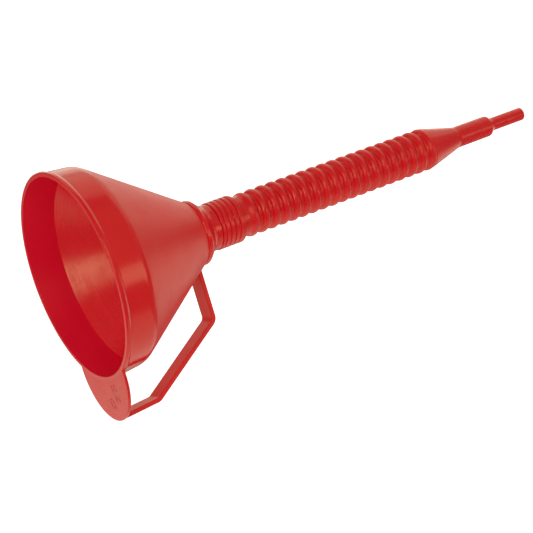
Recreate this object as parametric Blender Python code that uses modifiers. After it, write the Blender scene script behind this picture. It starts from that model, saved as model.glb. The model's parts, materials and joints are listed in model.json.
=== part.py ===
"""Hand funnel with a screw-on, flexible corrugated spout.

The funnel stands in the pose it is used in: +Z is its axis, with the mouth at the top and
the spout hanging straight down. The hanging tab and the strap handle are on the +X side.
The origin is on the axis, at the collar ledge under the cone, where the bowl drops into a
filler opening. Metres throughout.
"""
import math

import bmesh
import bpy

MM = 0.001
GAP = 0.3 * MM  # clearance between solids that touch on the real object

# Driving dimensions: the bowl
MOUTH_Z = 104.0 * MM  # plane of the mouth above the collar ledge
MOUTH_R = 80.0 * MM  # outside of the lip
LIP_HEIGHT = 2.9 * MM
LIP_PROUD = 1.1 * MM  # how far the lip stands out of the band below it
RIM_FACE = 3.3 * MM  # width of the flat face of the rim
BAND_HEIGHT = 25.0 * MM  # near-cylindrical band under the lip
BAND_END_R = 77.2 * MM
CONE_SLOPE = 0.669  # radius lost for each unit of depth
CREASE_DROP = 0.7 * MM  # the rounded crease takes this off the cone's top radius
WALL = 2.4 * MM
LEDGE_R = 25.7 * MM  # rounded ledge that ends the cone
LEDGE_TOP_Z = 1.0 * MM
LEDGE_HEIGHT = 3.5 * MM
COLLAR_R = 18.2 * MM  # cylinder from under the ledge to the top of the cuff
NECK_R = 17.0 * MM
NECK_BORE = 14.6 * MM
NECK_END_Z = -34.5 * MM
SEAT_R = 21.0 * MM  # counterbore for the strainer
SEAT_Z = -4.0 * MM

# Driving dimensions: the hanging tab and the strap handle
TAB_CENTRE_X = 73.4 * MM
TAB_R = 38.0 * MM
TAB_THICKNESS = 2.2 * MM
STRAP_WIDTH = 17.0 * MM
STRAP_THICKNESS = 3.5 * MM
STRAP_BEND = 6.2 * MM
STRAP_PATH = (  # x and z of the corners along the middle of the strap, from the tab to the cone
    (108.6 * MM, MOUTH_Z - TAB_THICKNESS - GAP),
    (106.9 * MM, 70.8 * MM),
    (66.4 * MM, 8.0 * MM),
    (22.0 * MM, 7.6 * MM),
)

# Driving dimensions: the flexible spout
PITCH = 9.8 * MM  # from crest to crest
CONVOLUTIONS = 19  # the last one is part of the nozzle
FIRST_CREST_Z = -48.0 * MM
CREST_R = 17.7 * MM
VALLEY_R = 14.6 * MM  # outside of the web in the valleys, a zone of a sphere about each bend
SPOUT_WALL = 1.0 * MM
VALLEY_HALF = 1.35 * MM  # half the width of the visible valley
WEB_CLEARANCE = 0.45 * MM  # between a web and the edge that slides over it
CREST_DEPTH = CREST_R - VALLEY_R - 0.8 * MM
CREST_HALF = PITCH / 2 - VALLEY_HALF
WEB_REACH = 3.75 * MM  # how far a web reaches into the piece above, past its bend centre
CUFF_TOP_Z = -16.5 * MM
CUFF_SHOULDER_Z = -36.0 * MM
CUFF_R = 18.9 * MM
CUFF_BORE = 17.5 * MM
RIDGE_PITCH = 4.3 * MM
RIDGE_DEPTH = 0.8 * MM
NOZZLE_CONE_END_Z = -260.8 * MM
NOZZLE_TUBE_R = 8.9 * MM
NOZZLE_SHOULDER_Z = -292.5 * MM
TIP_TOP_Z = -299.5 * MM
TIP_R = 5.5 * MM
TIP_END_Z = -334.5 * MM

# Driving dimensions: the drop-in strainer
STRAINER_R = 20.5 * MM
STRAINER_HEIGHT = 5.0 * MM
STRAINER_BORE = 15.4 * MM
GAUZE_R = 18.2 * MM
GAUZE_THICKNESS = 0.6 * MM

BOWL_SIDES = 48
CUFF_SIDES = 32
SPOUT_SIDES = 20


def clear_scene():
    for item in list(bpy.data.objects):
        bpy.data.objects.remove(item, do_unlink=True)


def linear(channel):
    """One sRGB channel, 0 to 255, as the linear value that a shader takes."""
    value = channel / 255
    return value / 12.92 if value <= 0.04045 else ((value + 0.055) / 1.055) ** 2.4


def plastic(name, rgb, roughness, metallic=0.0):
    material = bpy.data.materials.new(name)
    material.use_nodes = True
    shader = material.node_tree.nodes["Principled BSDF"]
    shader.inputs["Base Color"].default_value = (*[linear(c) for c in rgb], 1.0)
    shader.inputs["Roughness"].default_value = roughness
    shader.inputs["Metallic"].default_value = metallic
    return material


def add_collection(name):
    collection = bpy.data.collections.new(name)
    bpy.context.scene.collection.children.link(collection)
    return collection


def turned(name, profile, sides, collection, material, closed=True):
    """A solid of revolution about Z. The profile runs down its outer side and up its inner side."""
    mesh = bpy.data.meshes.new(name)
    edges = [(i, i + 1) for i in range(len(profile) - 1)]
    if closed:
        edges.append((len(profile) - 1, 0))
    mesh.from_pydata([(r, 0.0, z) for r, z in profile], edges, [])
    mesh.materials.append(material)
    item = bpy.data.objects.new(name, mesh)
    collection.objects.link(item)
    screw = item.modifiers.new("Turn", "SCREW")
    screw.axis = "Z"
    screw.steps = sides
    screw.render_steps = sides
    screw.use_merge_vertices = True
    screw.merge_threshold = 0.00001
    screw.use_smooth_shade = True
    return item


def outline_solid(name, points, thickness, collection, material, rotation=(0.0, 0.0, 0.0)):
    """A flat outline of x, y points filled and given a thickness, centred on its own plane."""
    curve = bpy.data.curves.new(name + "_outline", "CURVE")
    curve.dimensions = "2D"
    curve.fill_mode = "BOTH"
    curve.extrude = thickness / 2
    spline = curve.splines.new("POLY")
    spline.points.add(len(points) - 1)
    for point, (x, y) in zip(spline.points, points):
        point.co = (x, y, 0.0, 1.0)
    spline.use_cyclic_u = True
    guide = bpy.data.objects.new(name + "_outline", curve)
    guide.rotation_euler = rotation
    collection.objects.link(guide)
    bpy.context.view_layer.update()
    evaluated = guide.evaluated_get(bpy.context.evaluated_depsgraph_get())
    mesh = bpy.data.meshes.new_from_object(evaluated)
    mesh.name = name
    mesh.materials.clear()
    mesh.materials.append(material)
    welded = bmesh.new()
    welded.from_mesh(mesh)
    bmesh.ops.remove_doubles(welded, verts=welded.verts, dist=0.000005)
    bmesh.ops.recalc_face_normals(welded, faces=welded.faces)
    welded.to_mesh(mesh)
    welded.free()
    item = bpy.data.objects.new(name, mesh)
    item.matrix_world = guide.matrix_world.copy()
    collection.objects.link(item)
    bpy.data.objects.remove(guide, do_unlink=True)
    return item


def tube(outer_r, inner_r, top, end):
    """The profile of a plain tube."""
    return [(outer_r, top), (outer_r, end), (inner_r, end), (inner_r, top)]


def arc(centre, radius, start, end, steps):
    """Points along an arc, angles in degrees, both ends included."""
    points = []
    for i in range(steps + 1):
        angle = math.radians(start + (end - start) * i / steps)
        points.append((centre[0] + radius * math.cos(angle), centre[1] + radius * math.sin(angle)))
    return points


def cone_radius(z):
    """Outer radius of the bowl's cone at a height."""
    return BAND_END_R - CREASE_DROP - CONE_SLOPE * (MOUTH_Z - BAND_HEIGHT - 1.0 * MM - z)


def band_and_cone(collection, material):
    """The near-cylindrical band with the lip round the mouth, and the cone under it."""
    band_top = MOUTH_Z - LIP_HEIGHT
    band_end = MOUTH_Z - BAND_HEIGHT
    band = [
        (MOUTH_R - 0.7 * MM, MOUTH_Z),
        (MOUTH_R, MOUTH_Z - 0.7 * MM),
        (MOUTH_R, band_top + 0.5 * MM),
        (MOUTH_R - LIP_PROUD, band_top),
        (BAND_END_R, band_end),
        (BAND_END_R - WALL, band_end),
        (MOUTH_R - RIM_FACE, MOUTH_Z),
    ]
    turned("bowl_band", band, BOWL_SIDES, collection, material)
    wall_across = WALL * math.hypot(1.0, CONE_SLOPE)
    cone_top = band_end - GAP
    cone = [
        (cone_radius(cone_top), cone_top),
        (cone_radius(LEDGE_TOP_Z), LEDGE_TOP_Z),
        (SEAT_R, LEDGE_TOP_Z),
        (cone_radius(cone_top) - wall_across, cone_top),
    ]
    turned("bowl_cone", cone, BOWL_SIDES, collection, material)


def collar_and_neck(collection, material):
    """Ledge and collar under the cone, with the strainer's seat, and the neck inside the cuff."""
    top = LEDGE_TOP_Z - GAP
    ledge_end = LEDGE_TOP_Z - LEDGE_HEIGHT
    collar_end = CUFF_TOP_Z + GAP
    collar = [
        (LEDGE_R, top),
        (LEDGE_R - 0.4 * MM, ledge_end),
        (LEDGE_R - 2.4 * MM, ledge_end - 3.2 * MM),
        (LEDGE_R - 5.4 * MM, ledge_end - 5.6 * MM),
        (COLLAR_R, ledge_end - 7.4 * MM),
        (COLLAR_R, collar_end),
        (NECK_BORE, collar_end),
        (NECK_BORE, SEAT_Z),
        (SEAT_R, SEAT_Z),
        (SEAT_R, top),
    ]
    turned("bowl_collar", collar, BOWL_SIDES, collection, material)
    neck = tube(NECK_R, NECK_BORE, collar_end - GAP, NECK_END_Z)
    turned("bowl_neck", neck, BOWL_SIDES, collection, material)


def hanging_tab(collection, material):
    """Flat round-ended tab in the plane of the mouth, flush with the rim's face."""
    clear_r = MOUTH_R + GAP
    meet_x = (clear_r**2 - TAB_R**2 + TAB_CENTRE_X**2) / (2 * TAB_CENTRE_X)
    meet_y = math.sqrt(clear_r**2 - meet_x**2)
    tab_angle = math.degrees(math.atan2(meet_y, meet_x - TAB_CENTRE_X))
    rim_angle = math.degrees(math.atan2(meet_y, meet_x))
    outside = arc((TAB_CENTRE_X, 0.0), TAB_R, -tab_angle, tab_angle, 28)
    inside = arc((0.0, 0.0), clear_r, rim_angle, -rim_angle, 16)
    tab = outline_solid("hanging_tab", outside + inside[1:-1], TAB_THICKNESS, collection, material)
    tab.location.z = MOUTH_Z - TAB_THICKNESS / 2
    return tab


def rounded_path(corners, radius, steps):
    """A path through the corners, each inner corner replaced by an arc."""
    path = [corners[0]]
    for before, corner, after in zip(corners, corners[1:], corners[2:]):
        to_before = math.atan2(before[1] - corner[1], before[0] - corner[0])
        to_after = math.atan2(after[1] - corner[1], after[0] - corner[0])
        apart = to_after - to_before
        half = math.atan2(math.sin(apart), math.cos(apart)) / 2
        reach = radius / math.sin(abs(half))
        middle = to_before + half
        centre = (corner[0] + reach * math.cos(middle), corner[1] + reach * math.sin(middle))
        swing = math.pi / 2 - abs(half)
        turn = math.copysign(swing, half)
        start = math.degrees(middle + math.pi + turn)
        end = math.degrees(middle + math.pi - turn)
        path.extend(arc(centre, radius, start, end, steps))
    path.append(corners[-1])
    return path


def strap_outline(path, half):
    """Closed outline at an even distance on each side of a path."""
    sides = ([], [])
    for i, (x, y) in enumerate(path):
        last = path[max(i - 1, 0)]
        following = path[min(i + 1, len(path) - 1)]
        length = math.hypot(following[0] - last[0], following[1] - last[1])
        across = ((last[1] - following[1]) / length, (following[0] - last[0]) / length)
        sides[0].append((x + half * across[0], y + half * across[1]))
        sides[1].append((x - half * across[0], y - half * across[1]))
    return sides[0] + sides[1][::-1]


def strap_handle(collection, cutters, material):
    """Strap from the tab, out along the cone and back to it, cut to the cone's surface."""
    path = rounded_path(STRAP_PATH, STRAP_BEND, 5)
    outline = strap_outline(path, STRAP_THICKNESS / 2)
    upright = (math.pi / 2, 0.0, 0.0)
    strap = outline_solid("strap_handle", outline, STRAP_WIDTH, collection, material, upright)
    low, high = LEDGE_TOP_Z + 1.0 * MM, 40.0 * MM
    clearance = GAP * math.hypot(1.0, CONE_SLOPE)
    profile = [
        (0.0, high),
        (cone_radius(high) + clearance, high),
        (cone_radius(low) + clearance, low),
        (0.0, low),
    ]
    cutter = turned("cone_cutter", profile, BOWL_SIDES, cutters, material, closed=False)
    cutter.hide_render = True
    cutter.display_type = "WIRE"
    cut = strap.modifiers.new("Meet cone", "BOOLEAN")
    cut.operation = "DIFFERENCE"
    cut.solver = "EXACT"
    cut.object = cutter
    return strap


def web_points(bend_z, radius, heights):
    """Points on a sphere about a bend's centre, at heights measured from that centre."""
    return [(math.sqrt(radius**2 - h**2), bend_z + h) for h in heights]


def crest_points(crest_z):
    """The rounded crest of one convolution, from its upper flank to its lower one."""
    points = []
    for along in (1.0, 0.5, 0.0, -0.5, -1.0):
        height = math.sqrt(1 - (0.92 * along) ** 2)
        points.append((CREST_R - CREST_DEPTH * (1 - height), crest_z + CREST_HALF * along))
    return points


def spigot(bend_z):
    """Outer and inner points of the web that reaches up into the piece above a bend."""
    heights = (WEB_REACH, 0.0, -VALLEY_HALF)
    outer = web_points(bend_z, VALLEY_R, heights)
    inner = web_points(bend_z, VALLEY_R - SPOUT_WALL, heights[::-1])
    return outer, inner


def spout_ring(name, parent, collection, material):
    """One convolution, with its bend centre at the object's origin and its crest below."""
    crest_z = -PITCH / 2
    web_outer, web_inner = spigot(0.0)
    lower_z = -PITCH + VALLEY_HALF
    outer = crest_points(crest_z)
    inner = [
        (VALLEY_R + WEB_CLEARANCE, lower_z),
        (CREST_R - SPOUT_WALL, crest_z - 0.6 * MM),
        (CREST_R - SPOUT_WALL, crest_z + 0.6 * MM),
    ]
    ring = turned(name, web_outer + outer + inner + web_inner, SPOUT_SIDES, collection, material)
    ring.parent = parent
    return ring


def spout_cuff(parent, collection, material):
    """Threaded cuff of the spout: ridges outside, a plain bore over the neck, and a shoulder."""
    top, shoulder = CUFF_TOP_Z, CUFF_SHOULDER_Z
    outer = [(CUFF_R - 0.5 * MM, top)]
    ridges = int((top - shoulder) / RIDGE_PITCH)
    for i in range(ridges):
        start = top - 0.4 * MM - i * RIDGE_PITCH
        outer.append((CUFF_R, start - 0.3 * MM))
        outer.append((CUFF_R, start - RIDGE_PITCH + 1.7 * MM))
        outer.append((CUFF_R - RIDGE_DEPTH, start - RIDGE_PITCH + 0.8 * MM))
    bend_z = FIRST_CREST_Z + PITCH / 2
    lower_z = bend_z + VALLEY_HALF
    outer.extend([
        (CUFF_R, shoulder + 0.8 * MM),
        (CUFF_R - 0.4 * MM, shoulder),
        (VALLEY_R + 2.0 * MM, lower_z + 2.4 * MM),
        (VALLEY_R + 1.3 * MM, lower_z),
    ])
    inner = [
        (VALLEY_R + WEB_CLEARANCE, lower_z),
        (VALLEY_R + 0.9 * MM, lower_z + 2.9 * MM),
        (CUFF_BORE, shoulder + 0.9 * MM),
        (CUFF_BORE, top),
    ]
    cuff = turned("spout_cuff", outer + inner, CUFF_SIDES, collection, material)
    cuff.parent = parent
    return cuff


def spout_nozzle(parent, parent_z, collection, material):
    """Last convolution with the reducing cone, then the nozzle tube, then the thin open tip."""
    crest_z = FIRST_CREST_Z - (CONVOLUTIONS - 1) * PITCH
    web_outer, web_inner = spigot(parent_z)
    wall = SPOUT_WALL + 0.2 * MM
    cone_end = NOZZLE_CONE_END_Z - 1.5 * MM
    cone = web_outer + crest_points(crest_z)[:3] + [
        (CREST_R - 0.35 * MM, crest_z - 4.0 * MM),
        (NOZZLE_TUBE_R + 0.5 * MM, NOZZLE_CONE_END_Z + 2.2 * MM),
        (NOZZLE_TUBE_R, cone_end),
        (NOZZLE_TUBE_R - wall, cone_end),
        (NOZZLE_TUBE_R - wall, NOZZLE_CONE_END_Z + 0.8 * MM),
        (CREST_R - wall - 0.5 * MM, crest_z - 3.4 * MM),
        (CREST_R - wall, crest_z),
        (CREST_R - wall, crest_z + 0.6 * MM),
    ] + web_inner
    tip_top = TIP_TOP_Z - 0.6 * MM
    nozzle = [
        (NOZZLE_TUBE_R, cone_end - GAP),
        (NOZZLE_TUBE_R - 0.1 * MM, NOZZLE_SHOULDER_Z),
        (NOZZLE_TUBE_R - 0.9 * MM, NOZZLE_SHOULDER_Z - 3.2 * MM),
        (TIP_R + 0.6 * MM, TIP_TOP_Z + 1.0 * MM),
        (TIP_R, tip_top),
        (TIP_R - wall, tip_top),
        (TIP_R - wall, TIP_TOP_Z + 0.8 * MM),
        (NOZZLE_TUBE_R - wall, NOZZLE_SHOULDER_Z - 1.2 * MM),
        (NOZZLE_TUBE_R - wall, cone_end - GAP),
    ]
    tip = [
        (TIP_R, tip_top - GAP),
        (TIP_R, TIP_END_Z + 0.4 * MM),
        (TIP_R - 0.4 * MM, TIP_END_Z),
        (TIP_R - wall, TIP_END_Z),
        (TIP_R - wall, tip_top - GAP),
    ]
    for name, profile in (("spout_nozzle", cone), ("nozzle_tube", nozzle), ("nozzle_tip", tip)):
        local = [(r, z - parent_z) for r, z in profile]
        piece = turned(name, local, SPOUT_SIDES, collection, material)
        piece.parent = parent


def strainer(collection, plastic_material, gauze_material):
    """Drop-in strainer in the collar: a flanged ring with a disc of gauze lying in it."""
    base = SEAT_Z + GAP
    top = base + STRAINER_HEIGHT
    flange_top = base + 1.2 * MM
    wall_in = GAUZE_R + GAP
    profile = [
        (STRAINER_R - 0.4 * MM, top),
        (STRAINER_R, top - 0.4 * MM),
        (STRAINER_R, base),
        (STRAINER_BORE, base),
        (STRAINER_BORE, flange_top),
        (wall_in, flange_top),
        (wall_in, top),
    ]
    turned("strainer_ring", profile, CUFF_SIDES, collection, plastic_material)
    gauze_z = flange_top + GAP
    disc = [
        (0.0, gauze_z + GAUZE_THICKNESS),
        (GAUZE_R - 0.2 * MM, gauze_z + GAUZE_THICKNESS),
        (GAUZE_R - 0.2 * MM, gauze_z),
        (0.0, gauze_z),
    ]
    turned("strainer_gauze", disc, CUFF_SIDES, collection, gauze_material, closed=False)


def joint_empty(name, parent, z, collection):
    """An empty on a joint's axis. z is measured from the parent's own origin."""
    empty = bpy.data.objects.new(name, None)
    empty.empty_display_size = 0.01
    empty.location = (0.0, 0.0, z)
    empty.parent = parent
    collection.objects.link(empty)
    return empty


def flexible_spout(collection, material):
    """Cuff, convolutions and nozzle, each hung from the empty at the bend above it."""
    turn = joint_empty("spout_turn", None, 0.0, collection)
    spout_cuff(turn, collection, material)
    bend_z = FIRST_CREST_Z + PITCH / 2
    parent, step = turn, bend_z
    for number in range(1, CONVOLUTIONS + 1):
        parent = joint_empty(f"spout_bend_{number:02d}", parent, step, collection)
        step = -PITCH
        if number < CONVOLUTIONS:
            spout_ring(f"spout_ring_{number:02d}", parent, collection, material)
    last_bend_z = bend_z - (CONVOLUTIONS - 1) * PITCH
    spout_nozzle(parent, last_bend_z, collection, material)


def main():
    clear_scene()
    parts = add_collection("flexible_spout_funnel")
    cutters = add_collection("cutters")
    body_red = plastic("bowl_red", (198, 48, 44), 0.42)
    spout_red = plastic("spout_red", (196, 38, 40), 0.34)
    frame_red = plastic("strainer_red", (190, 46, 44), 0.45)
    brass = plastic("gauze_brass", (190, 160, 100), 0.35, metallic=1.0)
    band_and_cone(parts, body_red)
    collar_and_neck(parts, body_red)
    hanging_tab(parts, body_red)
    strap_handle(parts, cutters, body_red)
    flexible_spout(parts, spout_red)
    strainer(parts, frame_red, brass)


main()
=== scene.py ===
"""Looks of the flexible-spout funnel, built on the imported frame.

Metres, in the frame of the CAD: +Z is the funnel's axis with the mouth up, and the hanging tab
and the strap handle are on the +X side.
"""
import json
import math
import bpy
from mathutils import Matrix, Vector


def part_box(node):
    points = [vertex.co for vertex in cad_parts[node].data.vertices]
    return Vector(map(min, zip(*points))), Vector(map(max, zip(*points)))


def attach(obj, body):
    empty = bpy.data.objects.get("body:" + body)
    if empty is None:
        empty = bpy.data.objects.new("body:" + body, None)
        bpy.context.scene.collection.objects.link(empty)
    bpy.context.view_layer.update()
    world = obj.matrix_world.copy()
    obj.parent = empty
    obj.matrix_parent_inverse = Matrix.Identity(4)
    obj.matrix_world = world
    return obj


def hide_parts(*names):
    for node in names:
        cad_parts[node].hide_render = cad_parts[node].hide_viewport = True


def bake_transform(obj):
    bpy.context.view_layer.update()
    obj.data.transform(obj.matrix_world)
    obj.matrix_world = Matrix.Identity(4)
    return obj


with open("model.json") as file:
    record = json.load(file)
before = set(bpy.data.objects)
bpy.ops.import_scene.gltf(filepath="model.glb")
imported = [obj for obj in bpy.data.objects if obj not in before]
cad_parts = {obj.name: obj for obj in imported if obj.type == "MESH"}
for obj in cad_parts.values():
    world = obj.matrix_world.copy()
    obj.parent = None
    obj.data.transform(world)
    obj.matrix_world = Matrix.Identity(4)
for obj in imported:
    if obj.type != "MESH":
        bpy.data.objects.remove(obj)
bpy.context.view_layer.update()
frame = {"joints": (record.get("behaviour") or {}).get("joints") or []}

MM = 0.001
HOLD = 0.25 * MM  # a straight run keeps its own normal this close to its ends
SMOOTH_BELOW = math.radians(38)

# Heights and radii taken from the frame
MOUTH_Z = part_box("bowl_band")[1].z
MOUTH_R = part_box("bowl_band")[1].y
NECK_END_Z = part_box("bowl_neck")[0].z
TAB_TIP_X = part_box("hanging_tab")[1].x
TAB_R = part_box("hanging_tab")[1].y
TAB_CENTRE_X = TAB_TIP_X - TAB_R
CUFF_TOP_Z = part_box("spout_cuff")[1].z
CUFF_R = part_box("spout_cuff")[1].y
CREST_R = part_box("spout_ring_01")[1].y
TIP_END_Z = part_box("nozzle_tip")[0].z
SEAT_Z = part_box("strainer_ring")[0].z
BENDS = [j for j in frame["joints"] if j["name"].startswith("spout_bend_")]
BEND_ZS = [j["pos_m"][2] for j in BENDS]
PITCH = BEND_ZS[0] - BEND_ZS[1]

# Bowl
LIP_HEIGHT = 2.9 * MM
RIM_FACE = 3.3 * MM
BAND_TOP_R = MOUTH_R - 1.1 * MM
BAND_END_R = 77.2 * MM
BAND_END_Z = MOUTH_Z - 25.0 * MM
CONE_TOP_R = 76.5 * MM  # at CONE_TOP_Z, on the straight line of the cone
CONE_TOP_Z = MOUTH_Z - 26.0 * MM
CONE_SLOPE = 0.669
CONE_WALL = 2.88 * MM  # the wall measured across, at right angles to the axis
LEDGE_R = 25.7 * MM
COLLAR_R = 18.2 * MM
COLLAR_END_Z = CUFF_TOP_Z + 0.35 * MM
NECK_R = 17.0 * MM
NECK_BORE = 14.6 * MM
SEAT_R = 21.0 * MM
BOWL_SIDES = 192

# Hanging tab and strap
TAB_TOP_Z = MOUTH_Z - 0.02 * MM
TAB_END_Z = MOUTH_Z - 2.2 * MM
TAB_ROOT_R = MOUTH_R - 1.6 * MM  # the tab's edge inside the lip
MARK_HEIGHT = 0.6 * MM
TAB_MARKS = (  # place on the tab's face, half axes and turn in degrees of plain raised rings
    ((98.5 * MM, 1.5 * MM), (3.6 * MM, 2.6 * MM), 20),
    ((90.5 * MM, 9.5 * MM), (5.6 * MM, 1.5 * MM), 12),
    ((89.5 * MM, 14.5 * MM), (5.6 * MM, 1.5 * MM), 12),
)
STRAP_WIDTH = 17.0 * MM
STRAP_THICKNESS = 3.5 * MM
STRAP_BEND = 6.2 * MM

# Spout
SPOUT_WALL = 1.0 * MM
VALLEY_DEPTH = 3.3 * MM
VALLEY_FILLET = 1.9 * MM
FIRST_VALLEY_DEPTH = 1.7 * MM  # under the cuff, where the wall is nearly straight
FIRST_VALLEY_FILLET = 4.0 * MM
RIDGE_PITCH = 4.3 * MM
RIDGE_DEPTH = 1.0 * MM
GROOVE_WIDTH = 0.5 * MM
RIDGE_START = 0.55  # turns of the helix at the cuff's upper edge, on the +X side
CREST_HOLD = 0.7  # degrees of a crest's arc that keep the crest's own normal
CUFF_END_Z = BEND_ZS[0] + 3.5 * MM  # where the cuff's rigid part ends
CUFF_END_R = 16.1 * MM
CUFF_BORE = 17.5 * MM
SPOUT_SIDES = 96

# Strainer
GRIPS = 24
GRIP_DEPTH = 0.25 * MM

# Finish of the plastic, and the studio
FINE_PEEL = 0.03 * MM
COARSE_PEEL = 0.05 * MM
SCUFFS_PER_METRE = 1400.0
SCRATCH_DEPTH = 0.12 * MM
POLYETHYLENE_IOR = 1.51
WORLD_COLOUR = (1.0, 0.96, 0.78, 1.0)
WORLD_STRENGTH = 0.3


def linear(channel):
    value = channel / 255
    return value / 12.92 if value <= 0.04045 else ((value + 0.055) / 1.055) ** 2.4


def rgb(red, green, blue):
    """An sRGB colour, 0 to 255, as the linear value that a shader takes."""
    return (linear(red), linear(green), linear(blue), 1.0)


# ---------------------------------------------------------------- shapes


def arc(centre, radius, start, end, steps):
    """Points along an arc, angles in degrees, both ends included."""
    angles = [math.radians(start + (end - start) * i / steps) for i in range(steps + 1)]
    return [(centre[0] + radius * math.cos(a), centre[1] + radius * math.sin(a)) for a in angles]


def rounded(corners, steps=7):
    """An open line through corners (x, y, fillet), its fillets as arcs and its runs held straight."""
    line = []
    for i, (x, y, fillet) in enumerate(corners):
        corner = Vector((x, y))
        run = [corner]
        if fillet and 0 < i < len(corners) - 1:
            before = (Vector(corners[i - 1][:2]) - corner).normalized()
            after = (Vector(corners[i + 1][:2]) - corner).normalized()
            half = before.angle(after) / 2
            centre = corner + (before + after).normalized() * fillet / math.sin(half)
            start = corner + before * fillet / math.tan(half) - centre
            turn = math.copysign(math.pi - 2 * half, before.cross(after) * -1)
            run = [centre + Matrix.Rotation(turn * k / steps, 2) @ start for k in range(steps + 1)]
        if line and (run[0] - line[-1]).length > 4 * HOLD:
            step = (run[0] - line[-1]).normalized() * HOLD
            line += [line[-1] + step, run[0] - step]
        line += run
    return [tuple(point) for point in line]


def make_piece(name, vertices, faces, materials, zones=None):
    """A mesh object with smooth shading and sharp edges where its faces turn by much."""
    mesh = bpy.data.meshes.new(name)
    mesh.from_pydata(vertices, [], faces)
    for material in materials:
        mesh.materials.append(material)
    if zones:
        mesh.polygons.foreach_set("material_index", zones)
    mesh.shade_smooth()
    mesh.set_sharp_from_angle(angle=SMOOTH_BELOW)
    mesh.update()
    piece = bpy.data.objects.new(name, mesh)
    bpy.context.scene.collection.objects.link(piece)
    return piece


def lathe(name, profile, sides, materials, shape=None, zone=None):
    """A closed profile of (r, z), down its outer side and up its inner side, turned about Z."""
    count = len(profile)
    vertices, faces, zones = [], [], []
    for j in range(sides):
        angle = 2 * math.pi * j / sides
        for r, z in profile:
            radius = shape(r, z, angle) if shape else r
            vertices.append((radius * math.cos(angle), radius * math.sin(angle), z))
    for j in range(sides):
        near, far = j * count, (j + 1) % sides * count
        for i in range(count):
            m = (i + 1) % count
            faces.append((near + i, near + m, far + m, far + i))
            zones.append(zone(profile[i], profile[m]) if zone else 0)
    return make_piece(name, vertices, faces, materials, zones)


def cone_r(z):
    """Outer radius of the bowl's cone at a height."""
    return CONE_TOP_R - CONE_SLOPE * (CONE_TOP_Z - z)


def bowl_profile():
    """The bowl's outer line, from the rim down, and its inner line, from the neck up."""
    lip_z = MOUTH_Z - LIP_HEIGHT
    ledge_z = 1.2 * MM
    outer = rounded([
        (MOUTH_R - RIM_FACE / 2, MOUTH_Z, 0),
        (MOUTH_R, MOUTH_Z, 1.2 * MM),
        (MOUTH_R, lip_z + 0.2 * MM, 0.7 * MM),
        (BAND_TOP_R, lip_z - 1.6 * MM, 3.0 * MM),
        (BAND_END_R, BAND_END_Z, 15.0 * MM),
        (cone_r(ledge_z), ledge_z, 0.3 * MM),
        (LEDGE_R, ledge_z - 0.5 * MM, 0.5 * MM),
        (LEDGE_R, -2.2 * MM, 1.8 * MM),
        (20.0 * MM, -8.2 * MM, 3.0 * MM),
        (COLLAR_R, -11.0 * MM, 3.0 * MM),
        (COLLAR_R, COLLAR_END_Z, 0.3 * MM),
        (NECK_R, COLLAR_END_Z, 0.2 * MM),
        (NECK_R, NECK_END_Z, 0),
    ])
    inner_crease_z = MOUTH_Z - 25.5 * MM
    throat_z = CONE_TOP_Z - (CONE_TOP_R - CONE_WALL - SEAT_R) / CONE_SLOPE
    inner = rounded([
        (NECK_BORE, NECK_END_Z, 0),
        (NECK_BORE, SEAT_Z - 0.3 * MM, 0.3 * MM),
        (SEAT_R, SEAT_Z - 0.3 * MM, 0.3 * MM),
        (SEAT_R, throat_z, 0.5 * MM),
        (cone_r(inner_crease_z) - CONE_WALL, inner_crease_z, 1.2 * MM),
        (MOUTH_R - RIM_FACE, MOUTH_Z, 0.35 * MM),
        (MOUTH_R - RIM_FACE / 2, MOUTH_Z, 0),
    ])
    return outer, inner[:-1]


def bowl(polished, satin, inside, inner_band_painted_shade):
    """Lip, band, cone, ledge and neck.

    Zone 0 is polished, 1 is the outside of the cone, 2 its inside and 3 the inside of the band.
    Zones 2 and 3 take a bluer red than the outside, which is painted shade inside the bowl.
    """
    outer, inner = bowl_profile()
    outer_count = len(outer)
    order = {point: i for i, point in enumerate(outer + inner)}

    def zone(a, b):
        middle = (a[1] + b[1]) / 2
        if order[a] >= outer_count:
            return 3 if BAND_END_Z < middle < MOUTH_Z - 0.4 * MM else 2 if middle < BAND_END_Z else 0
        return 1 if 2.0 * MM < middle < BAND_END_Z - 1.5 * MM else 0

    materials = [polished, satin, inside, inner_band_painted_shade]
    return lathe("bowl_shell", outer + inner, BOWL_SIDES, materials, zone=zone)


def tab_ring(inset, z, steps=72, root_steps=28):
    """The tab's outline at one height: its round edge moved in by inset, and its root in the lip."""
    radius = TAB_R - inset
    meet_x = (TAB_ROOT_R**2 - radius**2 + TAB_CENTRE_X**2) / (2 * TAB_CENTRE_X)
    meet_y = math.sqrt(TAB_ROOT_R**2 - meet_x**2)
    edge = math.degrees(math.atan2(meet_y, meet_x - TAB_CENTRE_X))
    root = math.degrees(math.atan2(meet_y, meet_x))
    outline = arc((TAB_CENTRE_X, 0.0), radius, -edge, edge, steps)
    outline += arc((0.0, 0.0), TAB_ROOT_R, root, -root, root_steps)[1:-1]
    return [(x, y, z) for x, y in outline]


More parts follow.
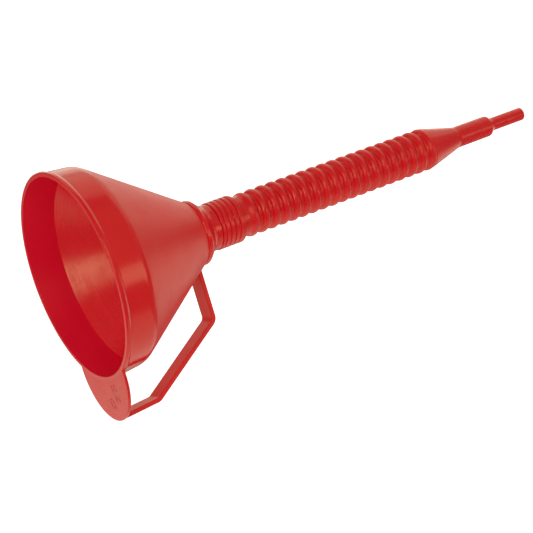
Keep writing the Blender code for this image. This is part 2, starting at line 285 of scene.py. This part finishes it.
def tab(material):
    """Flat round-ended tab in the plane of the mouth, its edge rounded above and below."""
    rounding = 0.5 * MM
    levels = [(rounding * 2, TAB_TOP_Z), (rounding, TAB_TOP_Z)]
    for degrees in (30, 60, 90):
        a = math.radians(degrees)
        levels.append((rounding * (1 - math.sin(a)), TAB_TOP_Z - rounding * (1 - math.cos(a))))
    for degrees in (90, 60, 30, 0):
        a = math.radians(degrees)
        levels.append((rounding * (1 - math.sin(a)), TAB_END_Z + rounding * (1 - math.cos(a))))
    levels.append((rounding * 2, TAB_END_Z))
    rings = [tab_ring(inset, z) for inset, z in levels]
    count = len(rings[0])
    vertices = [point for ring in rings for point in ring]
    faces = [tuple(range(count)), tuple((len(rings) - 1) * count + i for i in range(count))[::-1]]
    for level in range(len(rings) - 1):
        low, high = (level + 1) * count, level * count
        for i in range(count):
            k = (i + 1) % count
            faces.append((low + i, low + k, high + k, high + i))
    return make_piece("hanging_tab_shell", vertices, faces, [material])


def strap(material):
    """Strap of rounded section, from under the tab, along the cone and back into its wall."""
    corners = [
        (108.6 * MM, TAB_TOP_Z - 0.8 * MM, 0),
        (106.9 * MM, 70.8 * MM, STRAP_BEND),
        (66.4 * MM, 8.0 * MM, STRAP_BEND),
        (27.0 * MM, 7.6 * MM, 0),
    ]
    path = [Vector(point) for point in rounded(corners, steps=12)]
    half_w, half_t, edge = STRAP_WIDTH / 2, STRAP_THICKNESS / 2, 0.6 * MM
    section = []
    for cx, cy, start in ((1, 1, 0), (-1, 1, 90), (-1, -1, 180), (1, -1, 270)):
        centre = (cx * (half_t - edge), cy * (half_w - edge))
        section += arc(centre, edge, start, start + 90, 5)
    held = []
    for i, point in enumerate(section):
        held.append(point)
        following = Vector(section[(i + 1) % len(section)])
        gap = following - Vector(point)
        if gap.length > 4 * HOLD:
            held += [tuple(Vector(point) + gap.normalized() * HOLD),
                     tuple(following - gap.normalized() * HOLD)]
    count = len(held)
    vertices, faces = [], []
    for i, point in enumerate(path):
        along = (path[min(i + 1, len(path) - 1)] - path[max(i - 1, 0)]).normalized()
        across = Vector((along.y, -along.x))
        for u, v in held:
            x, z = point + across * u
            if i == len(path) - 1:
                x = math.sqrt((cone_r(z) - CONE_WALL / 2) ** 2 - v**2)
            vertices.append((x, v, z))
    for i in range(len(path) - 1):
        for k in range(count):
            m = (k + 1) % count
            faces.append((i * count + k, i * count + m, (i + 1) * count + m, (i + 1) * count + k))
    last = (len(path) - 1) * count
    faces += [tuple(range(count))[::-1], tuple(last + k for k in range(count))]
    return make_piece("strap_shell", vertices, faces, [material])


def cuff(material):
    """Cuff of the spout: a helical ridge outside, an open upper edge, and a shoulder below."""
    shoulder_z = CUFF_TOP_Z - 19.7 * MM
    rows = 112
    ridged = [(CUFF_R, CUFF_TOP_Z - 0.6 * MM - (CUFF_TOP_Z - 0.6 * MM - shoulder_z) * i / rows)
              for i in range(rows + 1)]
    outer = [(CUFF_R - 0.9 * MM, CUFF_TOP_Z), (CUFF_R - 0.5 * MM, CUFF_TOP_Z),
             (CUFF_R - 0.2 * MM, CUFF_TOP_Z - 0.15 * MM)]
    shoulder = rounded([
        (CUFF_R, shoulder_z, 0),
        (CUFF_R, shoulder_z - 0.7 * MM, 0.5 * MM),
        (CUFF_END_R + 0.1 * MM, CUFF_END_Z + 1.8 * MM, 0.9 * MM),
        (CUFF_END_R, CUFF_END_Z, 0),
    ])
    inner = rounded([
        (CUFF_END_R - SPOUT_WALL, CUFF_END_Z, 0),
        (CUFF_END_R + 0.4 * MM - SPOUT_WALL, CUFF_END_Z + 1.2 * MM, 0.6 * MM),
        (CUFF_BORE, shoulder_z + 0.6 * MM, 0.6 * MM),
        (CUFF_BORE, CUFF_TOP_Z, 0),
    ])
    fade = 1.2 * MM

    def groove(r, z, angle):
        """The radius with the groove between two turns of the ridge cut into it."""
        if r < CUFF_R - 0.1 * MM or z < shoulder_z - 0.1 * MM:
            return r
        turns = (CUFF_TOP_Z - z) / RIDGE_PITCH + RIDGE_START - angle / (2 * math.pi)
        off = abs(turns - round(turns)) * RIDGE_PITCH
        ends = min(1.0, (CUFF_TOP_Z - z) / fade, (z - shoulder_z) / fade)
        return r - RIDGE_DEPTH * math.exp(-((off / GROOVE_WIDTH) ** 2)) * max(0.0, ends)

    return lathe("spout_cuff_shell", outer + ridged + shoulder[1:] + inner, 160, [material], groove)


def crest_fillet(depth, valley):
    """Radius of a crest's arc, so that it runs smoothly into the valley's."""
    half = PITCH / 2
    return (half**2 + depth**2) / (2 * depth) - valley


def wave(crest_z, direction, offset, depth=VALLEY_DEPTH, valley=VALLEY_FILLET, steps=9):
    """Half a wave of the spout's wall, from a crest to the middle of the next valley.

    direction is 1 for upwards and -1 for downwards, and offset moves the line into the wall.
    """
    crest = crest_fillet(depth, valley)
    spread = math.degrees(math.asin(PITCH / 2 / (crest + valley)))
    crest_radius, valley_radius = crest - offset, valley + offset
    points = []
    for degrees in [0.0, CREST_HOLD] + [spread * i / steps for i in range(1, steps + 1)]:
        a = math.radians(degrees)
        points.append((CREST_R - crest + crest_radius * math.cos(a),
                       crest_z + direction * crest_radius * math.sin(a)))
    valley_z = crest_z + direction * PITCH / 2
    centre_r = CREST_R - depth + valley
    for i in range(1, steps + 1):
        a = math.radians(spread * (1 - i / steps))
        points.append((centre_r - valley_radius * math.cos(a),
                       valley_z - direction * valley_radius * math.sin(a)))
    return points


def bellows(number, material):
    """The spout's wall from one crest to the next, round the valley where the spout's bend joint sits.
    """
    joint = BENDS[number - 1]
    bend_z = BEND_ZS[number - 1]
    lower_z = bend_z - PITCH / 2
    valley = (VALLEY_DEPTH, VALLEY_FILLET)
    if number == 1:
        valley = (FIRST_VALLEY_DEPTH, FIRST_VALLEY_FILLET)
    rise_out, rise_in = wave(lower_z, 1, 0.0, *valley), wave(lower_z, 1, SPOUT_WALL, *valley)
    if number == 1:
        upper_z = CUFF_END_Z
        fall_out = [(CUFF_END_R, upper_z),
                    (CREST_R - FIRST_VALLEY_DEPTH + 0.04 * MM, bend_z + 1.2 * MM)]
        fall_in = [(r - SPOUT_WALL, z) for r, z in fall_out]
    else:
        upper_z = bend_z + PITCH / 2
        fall_out, fall_in = wave(upper_z, -1, 0.0)[:-1], wave(upper_z, -1, SPOUT_WALL)[:-1]
    profile = fall_out + rise_out[::-1] + rise_in + fall_in[::-1]
    piece = lathe(f"spout_bellows_{number:02d}", profile, SPOUT_SIDES, [material])
    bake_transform(piece)
    if number < len(BENDS):
        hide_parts(joint["child"])
    return piece


def nozzle(material):
    """Last half crest, reducing cone, nozzle tube and the thin open tip."""
    crest_z = BEND_ZS[-1] - PITCH / 2
    crest = crest_fillet(VALLEY_DEPTH, VALLEY_FILLET)
    cone_top_z, cone_end_z = crest_z - 3.6 * MM, -260.6 * MM
    tube_r, shoulder_z, tip_top_z, tip_r = 8.9 * MM, -295.6 * MM, -299.6 * MM, 5.5 * MM

    def crest_arc(inset, end):
        angles = [0.0, CREST_HOLD] + [end * i / 6 for i in range(1, 7)]
        return [(CREST_R - crest + (crest - inset) * math.cos(math.radians(a)),
                 crest_z - (crest - inset) * math.sin(math.radians(a)), 0) for a in angles]

    def line(inset):
        return crest_arc(inset, 30) + [
            (17.0 * MM - inset, cone_top_z, 1.5 * MM),
            (tube_r - inset, cone_end_z, 14.0 * MM),
            (tube_r - 0.1 * MM - inset, shoulder_z, 2.6 * MM),
            (tip_r + 0.5 * MM - inset, tip_top_z + 0.7 * MM, 1.0 * MM),
            (tip_r - inset, tip_top_z - 1.5 * MM, 1.0 * MM),
        ]

    wall = 1.2 * MM
    outer = rounded(line(0.0) + [(tip_r, TIP_END_Z, 0.5 * MM), (tip_r - wall / 2, TIP_END_Z, 0)])
    inner = rounded(
        line(wall) + [(tip_r - wall, TIP_END_Z, 0.3 * MM), (tip_r - wall / 2, TIP_END_Z, 0)])
    return lathe("spout_nozzle_shell", outer + inner[-2::-1], SPOUT_SIDES, [material])


def strainer_ring(material):
    """Flanged ring of the strainer, with shallow grips round its wall."""
    low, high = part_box("strainer_ring")
    radius, bore = high.y, 15.4 * MM
    wall_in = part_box("strainer_gauze")[1].y + 0.5 * MM
    flange_z = low.z + 1.2 * MM
    profile = rounded([
        ((radius + wall_in) / 2, high.z, 0),
        (radius, high.z, 0.5 * MM),
        (radius, low.z, 0.4 * MM),
        (bore, low.z, 0.3 * MM),
        (bore, flange_z, 0.3 * MM),
        (wall_in, flange_z, 0.3 * MM),
        (wall_in, high.z, 0.4 * MM),
        ((radius + wall_in) / 2, high.z, 0),
    ])[:-1]

    def grips(r, z, angle):
        on_wall = r > radius - 0.05 * MM and z > low.z + 1.0 * MM
        return r - GRIP_DEPTH * max(0.0, math.cos(GRIPS * angle)) if on_wall else r

    return lathe("strainer_ring_shell", profile, 144, [material], grips)


def gauze(material):
    """Woven wires cut to a disc, with a thin rim that holds their ends."""
    low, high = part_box("strainer_gauze")
    radius, middle = high.y, (low.z + high.z) / 2
    spacing, wire_r, swing = 1.1 * MM, 0.14 * MM, 0.14 * MM
    per_cell, ring_sides = 4, 6
    vertices, faces = [], []
    count = int(radius / spacing)
    for direction in (0, 1):
        for wire in range(-count, count + 1):
            off = wire * spacing
            reach = math.sqrt(radius**2 - off**2)
            steps = max(2, round(2 * reach / spacing * per_cell))
            base = len(vertices)
            for s in range(steps + 1):
                along = -reach + 2 * reach * s / steps
                phase = math.pi * (along / spacing + wire + direction)
                lift = swing * math.cos(phase)
                for k in range(ring_sides):
                    a = 2 * math.pi * k / ring_sides
                    x, y = along, off + wire_r * math.cos(a)
                    z = middle + lift + wire_r * math.sin(a)
                    vertices.append((x, y, z) if direction == 0 else (-y, x, z))
            for s in range(steps):
                for k in range(ring_sides):
                    m = (k + 1) % ring_sides
                    near, far = base + s * ring_sides, base + (s + 1) * ring_sides
                    faces.append((near + k, far + k, far + m, near + m))
            faces.append(tuple(base + k for k in range(ring_sides)))
            faces.append(tuple(base + steps * ring_sides + k for k in range(ring_sides))[::-1])
    rim = [(radius - 0.7 * MM, low.z), (radius - 0.7 * MM, high.z), (radius, high.z), (radius, low.z)]
    sides = 96
    base = len(vertices)
    for j in range(sides):
        a = 2 * math.pi * j / sides
        vertices += [(r * math.cos(a), r * math.sin(a), z) for r, z in rim]
    for j in range(sides):
        near, far = base + 4 * j, base + 4 * ((j + 1) % sides)
        for i in range(4):
            m = (i + 1) % 4
            faces.append((near + m, near + i, far + i, far + m))
    return make_piece("strainer_gauze_weave", vertices, faces, [material])


# ---------------------------------------------------------------- materials


def new_material(name):
    material = bpy.data.materials.new(name)
    material.use_nodes = True
    tree = material.node_tree
    return material, tree, tree.nodes["Principled BSDF"]


def node(tree, kind, settings=None, **inputs):
    """A node, its settings, and its inputs: a socket is linked and anything else is its value."""
    made = tree.nodes.new("ShaderNode" + kind)
    for key, value in (settings or {}).items():
        setattr(made, key, value)
    for key, value in inputs.items():
        socket = made.inputs[int(key[1:])] if key[0] == "i" and key[1:].isdigit() else made.inputs[key]
        if isinstance(value, bpy.types.NodeSocket):
            tree.links.new(value, socket)
        else:
            socket.default_value = value
    return made


def spread_of(tree, value, low, high, to_low, to_high):
    """value from low..high mapped to to_low..to_high, clamped."""
    return node(tree, "MapRange", None, i0=value, i1=low, i2=high, i3=to_low, i4=to_high).outputs[0]


def noise(tree, vector, scale, detail=2.0, rough=0.5):
    return node(tree, "TexNoise", None, Vector=vector, Scale=scale, Detail=detail,
                Roughness=rough).outputs["Fac"]


def mixed(tree, factor, a, b):
    made = node(tree, "Mix", {"data_type": "RGBA"}, i0=factor)
    for socket, value in ((made.inputs[6], a), (made.inputs[7], b)):
        if isinstance(value, bpy.types.NodeSocket):
            tree.links.new(value, socket)
        else:
            socket.default_value = value
    return made.outputs[2]


def around_axis(tree, coords, per_metre):
    """Coordinates that change quickly across the turned surface and slowly round it."""
    flat = node(tree, "VectorMath", {"operation": "MULTIPLY"}, i0=coords, i1=(1, 1, 0))
    radius = node(tree, "VectorMath", {"operation": "LENGTH"}, i0=flat.outputs[0])
    unit = node(tree, "VectorMath", {"operation": "NORMALIZE"}, i0=flat.outputs[0])
    height = node(tree, "SeparateXYZ", None, i0=coords)
    total = node(tree, "Math", {"operation": "ADD"}, i0=radius.outputs["Value"], i1=height.outputs[2])
    fast = node(tree, "Math", {"operation": "MULTIPLY"}, i0=total.outputs[0], i1=per_metre)
    parts = node(tree, "SeparateXYZ", None, i0=unit.outputs[0])
    return node(tree, "CombineXYZ", None, i0=parts.outputs[0], i1=parts.outputs[1],
                i2=fast.outputs[0]).outputs[0]


def raised_ring(tree, coords, place, size, turn):
    """1 on an oval line on the tab's face and 0 away from it. size is the oval's half axes."""
    local = node(tree, "Mapping", {"vector_type": "TEXTURE"}, Vector=coords, Scale=(*size, 1 * MM),
                 Location=(*place, MOUTH_Z), Rotation=(0.0, 0.0, math.radians(turn)))
    out = node(tree, "VectorMath", {"operation": "LENGTH"}, i0=local.outputs[0]).outputs["Value"]
    away = node(tree, "Math", {"operation": "SUBTRACT"}, i0=out, i1=1.0).outputs[0]
    off = node(tree, "Math", {"operation": "ABSOLUTE"}, i0=away).outputs[0]
    return spread_of(tree, off, 0.12, 0.36, 1.0, 0.0)


def moulded(name, base, deep, rough, peel=FINE_PEEL, wear=0.0, marks=()):
    """Moulded polyethylene: clouded pigment, a fine orange peel and scuffs that run round the axis.

    marks are plain rings that stand out of the surface, each a place, a size and a turn.
    """
    material, tree, shader = new_material(name)
    coords = node(tree, "TexCoord").outputs["Object"]
    cloud = noise(tree, coords, 22.0, 3.0, 0.55)
    fleck = noise(tree, coords, 700.0, 2.0, 0.6)
    colour = mixed(tree, spread_of(tree, cloud, 0.3, 0.7, 0.0, 1.0), base, deep)
    paler = [min(1.0, channel * 1.12 + 0.004) for channel in base[:3]] + [1.0]
    colour = mixed(tree, spread_of(tree, fleck, 0.45, 0.8, 0.0, 0.5), colour, paler)
    rings = noise(tree, around_axis(tree, coords, SCUFFS_PER_METRE), 1.0, 5.0, 0.65)
    patch = noise(tree, coords, 38.0, 2.0, 0.5)
    scuff = node(tree, "Math", {"operation": "MULTIPLY"}, i0=spread_of(tree, rings, 0.5, 0.72, 0.0, 1.0),
                 i1=spread_of(tree, patch, 0.42, 0.62, 0.15, 1.0)).outputs[0]
    smooth = spread_of(tree, noise(tree, coords, 55.0, 4.0, 0.6), 0.3, 0.7, rough[0], rough[1])
    extra = node(tree, "Math", {"operation": "MULTIPLY"}, i0=scuff, i1=wear)
    total = node(tree, "Math", {"operation": "ADD", "use_clamp": True}, i0=smooth, i1=extra.outputs[0])
    peel_height = noise(tree, coords, 950.0, 2.0, 0.5)
    bump = node(tree, "Bump", None, Strength=1.0, Distance=peel, Height=peel_height)
    scratched = node(tree, "Bump", None, Strength=1.0, Distance=SCRATCH_DEPTH * wear, Height=scuff,
                     Normal=bump.outputs[0])
    tree.links.new(colour, shader.inputs["Base Color"])
    tree.links.new(total.outputs[0], shader.inputs["Roughness"])
    normal = scratched.outputs[0]
    for mark in marks:
        normal = node(tree, "Bump", None, Strength=1.0, Distance=MARK_HEIGHT,
                      Height=raised_ring(tree, coords, *mark), Normal=normal).outputs[0]
    tree.links.new(normal, shader.inputs["Normal"])
    shader.inputs["IOR"].default_value = POLYETHYLENE_IOR
    shader.inputs["Specular Tint"].default_value = SHEEN
    return material


def wire_mesh(name):
    """Brass wire, a little tarnished."""
    material, tree, shader = new_material(name)
    coords = node(tree, "TexCoord").outputs["Object"]
    tarnish = spread_of(tree, noise(tree, coords, 260.0, 4.0, 0.6), 0.35, 0.7, 0.0, 1.0)
    colour = mixed(tree, tarnish, rgb(201, 170, 104), rgb(142, 112, 62))
    rough = spread_of(tree, noise(tree, coords, 900.0, 2.0, 0.5), 0.3, 0.7, 0.25, 0.5)
    tree.links.new(colour, shader.inputs["Base Color"])
    tree.links.new(rough, shader.inputs["Roughness"])
    shader.inputs["Metallic"].default_value = 1.0
    return material


def floor_material(name):
    """Matt pale paper, with a faint mottle."""
    material, tree, shader = new_material(name)
    coords = node(tree, "TexCoord").outputs["Object"]
    mottle = spread_of(tree, noise(tree, coords, 3.0, 2.0, 0.5), 0.3, 0.7, 0.0, 1.0)
    colour = mixed(tree, mottle, rgb(238, 240, 246), rgb(234, 236, 243))
    tree.links.new(colour, shader.inputs["Base Color"])
    tree.links.new(colour, shader.inputs["Emission Color"])
    shader.inputs["Emission Strength"].default_value = 0.9
    shader.inputs["Roughness"].default_value = 0.9
    shader.inputs["Specular IOR Level"].default_value = 0.0
    return material


# ---------------------------------------------------------------- stage, camera and lights

CAMERA_AT = Vector((-0.11384, 1.0202, 0.49662))
CAMERA_BACK = Vector((-0.13501, 0.87246, 0.46967)).normalized()
IMAGE_RIGHT = Vector((0.29106, 0.48802, -0.82287))  # made square to CAMERA_BACK below
CAMERA_RIGHT = IMAGE_RIGHT.cross(CAMERA_BACK).cross(CAMERA_BACK).normalized() * -1
CAMERA_UP = CAMERA_BACK.cross(CAMERA_RIGHT)
LENS, SENSOR = 101.3, 36.0
BOWL_MIDDLE = Vector((0.0, 0.0, 0.05))
LIGHT_COLOUR = (1.0, 0.97, 0.8)
ABOVE, BELOW = (0.0, 1.0, 0.0), (0.0, -1.0, 0.0)
SOFTBOXES = (  # name, place, width and depth, radiance, and the direction that it hangs in
    ("overhead", (0.1, 1.2, -0.52), (2.4, 1.0), 0.55, ABOVE),
    ("upper_wall", (0.15, 0.85, -1.35), (2.4, 0.8), 0.8),
    ("table", (-0.32, -0.45, -0.37), (2.05, 1.1), 0.5, BELOW),
    ("right_box", (1.47, 0.03, 0.58), (0.7, 0.44), 1.7),
    ("right_card", (1.2, 0.0, -1.0), (1.0, 0.8), 0.95),
    ("right_high_card", (1.2, 0.8, -0.7), (0.8, 0.8), 0.12),
    ("front_high_card", (0.7, 0.6, 0.35), (1.0, 1.0), 0.12),
    ("front_box", (-0.48, -0.16, 1.5), (0.4, 0.95), 4.3),
    ("front_fill", (0.5, 0.4, 1.5), (0.9, 0.9), 1.0),
    ("left_card", (-1.5, 0.3, 0.3), (1.0, 1.0), 0.8),
)


def add_camera():
    data = bpy.data.cameras.new("camera")
    data.lens, data.sensor_width = LENS, SENSOR
    camera = bpy.data.objects.new("camera", data)
    turn = Matrix((CAMERA_RIGHT, CAMERA_UP, CAMERA_BACK)).transposed()
    camera.matrix_world = Matrix.Translation(CAMERA_AT) @ turn.to_4x4()
    bpy.context.scene.collection.objects.link(camera)
    bpy.context.scene.camera = camera


def camera_axes(right, up, back):
    """A direction or an offset given as the camera sees it."""
    return CAMERA_RIGHT * right + CAMERA_UP * up + CAMERA_BACK * back


def add_softbox(name, place, size, radiance, faces=None):
    """A rectangular light at a place to the right of, above and behind the bowl, as the camera sees it.

    It faces the bowl, or back along the direction that faces gives.
    """
    away = camera_axes(*(faces or place)).normalized()
    data = bpy.data.lights.new(name, "AREA")
    data.shape = "RECTANGLE"
    data.size, data.size_y = size
    data.energy = 4 * size[0] * size[1] * radiance
    data.color = LIGHT_COLOUR
    light = bpy.data.objects.new(name, data)
    across = CAMERA_RIGHT - away * CAMERA_RIGHT.dot(away)
    if across.length < 0.5:
        across = CAMERA_BACK - away * CAMERA_BACK.dot(away)
    across.normalize()
    turn = Matrix((across, away.cross(across), away)).transposed()
    light.matrix_world = Matrix.Translation(BOWL_MIDDLE + camera_axes(*place)) @ turn.to_4x4()
    light.visible_camera = False
    bpy.context.scene.collection.objects.link(light)


def add_floor():
    """A pale floor under the tip that curves up far away into a wall."""
    sides, flat, bend, wall = 96, 3.0, 1.5, 5.0
    profile = [(0.3, 0.0), (flat, 0.0)]
    profile += [(flat + bend * math.sin(a), bend * (1 - math.cos(a)))
                for a in [math.radians(9 * i) for i in range(1, 11)]]
    profile.append((flat + bend, wall))
    vertices = [(0.0, 0.0, TIP_END_Z)]
    for j in range(sides):
        angle = 2 * math.pi * j / sides
        vertices += [(r * math.cos(angle), r * math.sin(angle), TIP_END_Z + z) for r, z in profile]
    count, faces = len(profile), []
    for j in range(sides):
        near, far = 1 + j * count, 1 + (j + 1) % sides * count
        faces.append((0, near, far))
        faces += [(near + i, near + i + 1, far + i + 1, far + i) for i in range(count - 1)]
    floor = make_piece("studio_floor", vertices, faces, [floor_material("pale_paper")])
    floor.visible_diffuse = False
    floor.visible_glossy = False
    floor.visible_shadow = False


def add_world():
    world = bpy.data.worlds.new("studio")
    world.use_nodes = True
    background = world.node_tree.nodes["Background"]
    background.inputs["Color"].default_value = WORLD_COLOUR
    background.inputs["Strength"].default_value = WORLD_STRENGTH
    bpy.context.scene.world = world


def light_studio():
    for softbox in SOFTBOXES:
        add_softbox(*softbox)


# ---------------------------------------------------------------- assembly

RED, DEEP = rgb(230, 18, 36), rgb(223, 11, 33)
SHEEN = (1.0, 0.84, 0.56, 1.0)  # the tint of reflections seen straight on
gloss = moulded("bowl_gloss_red", RED, DEEP, (0.13, 0.2), wear=0.12)
tab_red = moulded("tab_red", RED, DEEP, (0.2, 0.28), wear=0.1, marks=TAB_MARKS)
satin = moulded("bowl_satin_red", RED, DEEP, (0.34, 0.44), peel=COARSE_PEEL, wear=0.1)
# Painted shade: the insides of the cone and of the band get a bluer red than the outside, standing in
# for the shade inside the bowl.
inside = moulded("bowl_inside_painted_shade_red", rgb(234, 13, 46), rgb(228, 8, 42), (0.2, 0.3), wear=0.35)
inner_band_painted_shade = moulded("band_inside_painted_shade_red", rgb(232, 12, 58), rgb(226, 8, 54), (0.3, 0.38), wear=0.05)
spout_red = moulded("spout_red", rgb(228, 16, 36), rgb(221, 9, 33), (0.2, 0.3), wear=0.1)
frame_red = moulded("strainer_red", rgb(228, 22, 36), rgb(220, 14, 32), (0.3, 0.42), wear=0.1)

BOWL_NODES = ("bowl_band", "bowl_cone", "bowl_collar", "bowl_neck")
NOZZLE_NODES = ("spout_nozzle", "nozzle_tube", "nozzle_tip")
for made, body, nodes, slot in (
    (bowl(gloss, satin, inside, inner_band_painted_shade), "root", BOWL_NODES, "bowl_plastic"),
    (tab(tab_red), "root", ("hanging_tab",), "bowl_plastic"),
    (strap(satin), "root", ("strap_handle",), "bowl_plastic"),
    (cuff(spout_red), "spout_cuff", ("spout_cuff",), "spout_plastic"),
    (nozzle(spout_red), "spout_nozzle", NOZZLE_NODES, "spout_plastic"),
    (strainer_ring(frame_red), "strainer", ("strainer_ring",), "strainer_plastic"),
    (gauze(wire_mesh("brass_wire")), "strainer", ("strainer_gauze",), "gauze"),
):
    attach(made, body)
    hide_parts(*nodes)

for number in range(1, len(BENDS) + 1):
    bellows(number, spout_red)

add_floor()
add_world()
light_studio()
add_camera()
bpy.context.scene.view_settings.view_transform = "Standard"
